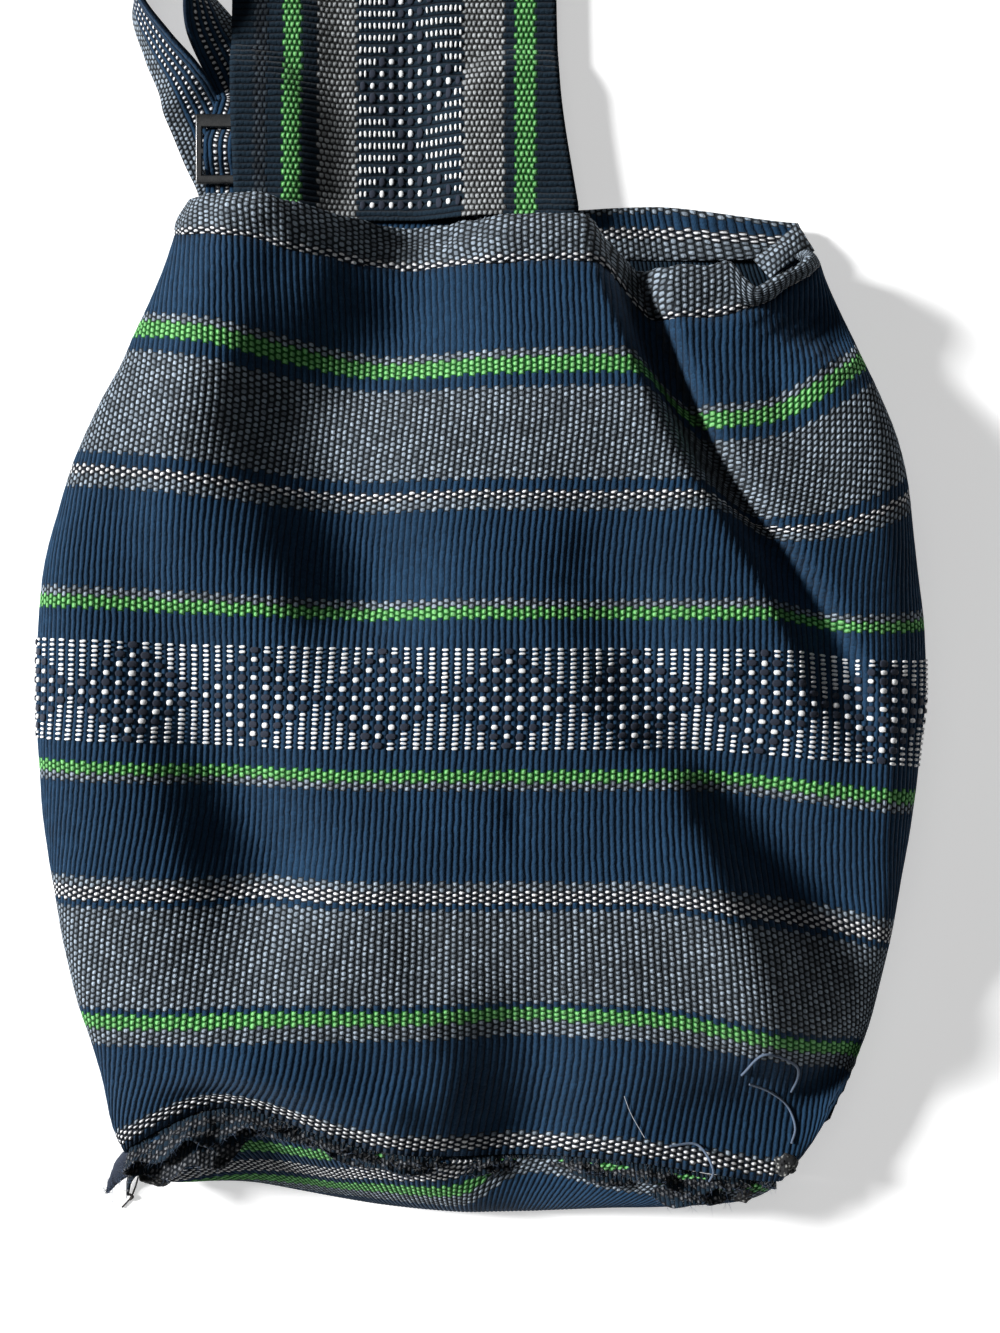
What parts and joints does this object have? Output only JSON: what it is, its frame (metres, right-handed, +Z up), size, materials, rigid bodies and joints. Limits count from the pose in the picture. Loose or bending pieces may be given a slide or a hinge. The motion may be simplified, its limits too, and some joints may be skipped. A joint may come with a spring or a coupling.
{
  "type": "woven backpack",
  "caption": "Soft woven cloth backpack lying on its back, with a folded hem at its open mouth, an open flap, a seamed base and shoulder straps with sliders.",
  "frame": {"origin": "middle of the back panel's flat face, on the surface that the bag lies on", "axes": "+X across the bag to the right of the picture, +Y towards the mouth and flap, +Z up out of the front"},
  "size_m": [0.3791, 0.6539, 0.0763],
  "materials": {
    "woven_cloth": "ribbed navy weave with grey, green and white bands",
    "hem_cloth": "speckled grey weave, folded and stitched",
    "raw_edge": "frayed raw weave",
    "strap_webbing": "striped woven strap",
    "black_plastic": "glossy moulded"
  },
  "bodies": {
    "root": {"front_panel": "woven_cloth", "back_panel": "woven_cloth", "base_panel": "woven_cloth", "flap": "woven_cloth", "front_hem": "hem_cloth", "back_hem": "hem_cloth", "seam_flange": "raw_edge", "strap_left": "strap_webbing", "strap_right": "strap_webbing", "slider_left": "black_plastic", "slider_right": "black_plastic"}
  },
  "joints": []
}
